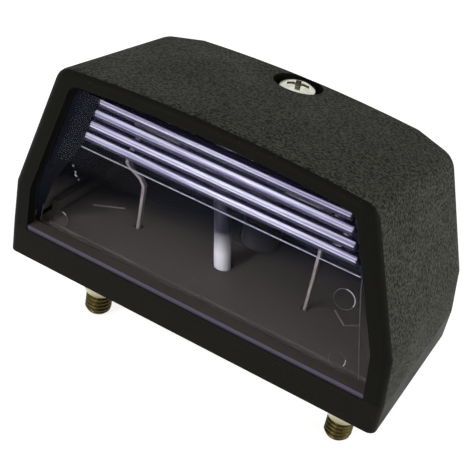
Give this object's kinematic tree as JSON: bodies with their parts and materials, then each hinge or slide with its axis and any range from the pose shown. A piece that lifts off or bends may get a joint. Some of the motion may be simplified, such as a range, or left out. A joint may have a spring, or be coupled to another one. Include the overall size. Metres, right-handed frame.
{
  "type": "number plate lamp",
  "caption": "Number plate lamp: black moulded base with studs below, textured tapering cover, clear ribbed lens set back behind its rim.",
  "frame": {"origin": "centre of the base's underside, in the plane of the mounting face", "axes": "+Z out of the mounting face towards the top of the cover, +X along the width, the window faces -Y and the studs point along -Z"},
  "size_m": [0.084, 0.0456, 0.0697],
  "materials": {
    "base_plastic": "smooth black moulding",
    "cover_plastic": "fine grained dark grey moulding with a smooth rim",
    "clear_plastic": "clear moulding with a faint violet tint",
    "black_rubber": "matt",
    "bright_zinc": "bright zinc plating",
    "yellow_zinc": "yellow passivated zinc",
    "brass": "turned",
    "tinned_spring": "tinned spring strip",
    "nickel": "nickel plating",
    "bulb_glass": "clear thin glass",
    "filament_wire": "drawn wire",
    "pale_plastic": "pale moulding",
    "grey_plastic": "satin grey moulding"
  },
  "bodies": {
    "root": {"base": "base_plastic", "cover": "cover_plastic", "lens": "clear_plastic", "lens_gasket": "black_rubber", "cover_screw": "bright_zinc", "screw_insert": "brass", "screw_seal": "black_rubber", "stud_left": "yellow_zinc", "stud_right": "yellow_zinc", "floor_plate": "grey_plastic", "cable_grommet": "black_rubber", "contact_left": "tinned_spring", "contact_right": "tinned_spring", "terminal_screw_left": "brass", "terminal_screw_right": "brass", "terminal_washer_left": "bright_zinc", "terminal_washer_right": "bright_zinc", "bulb_glass": "bulb_glass", "bulb_cap_left": "nickel", "bulb_cap_right": "nickel", "bulb_filament": "filament_wire", "bulb_peg": "pale_plastic"}
  },
  "joints": []
}
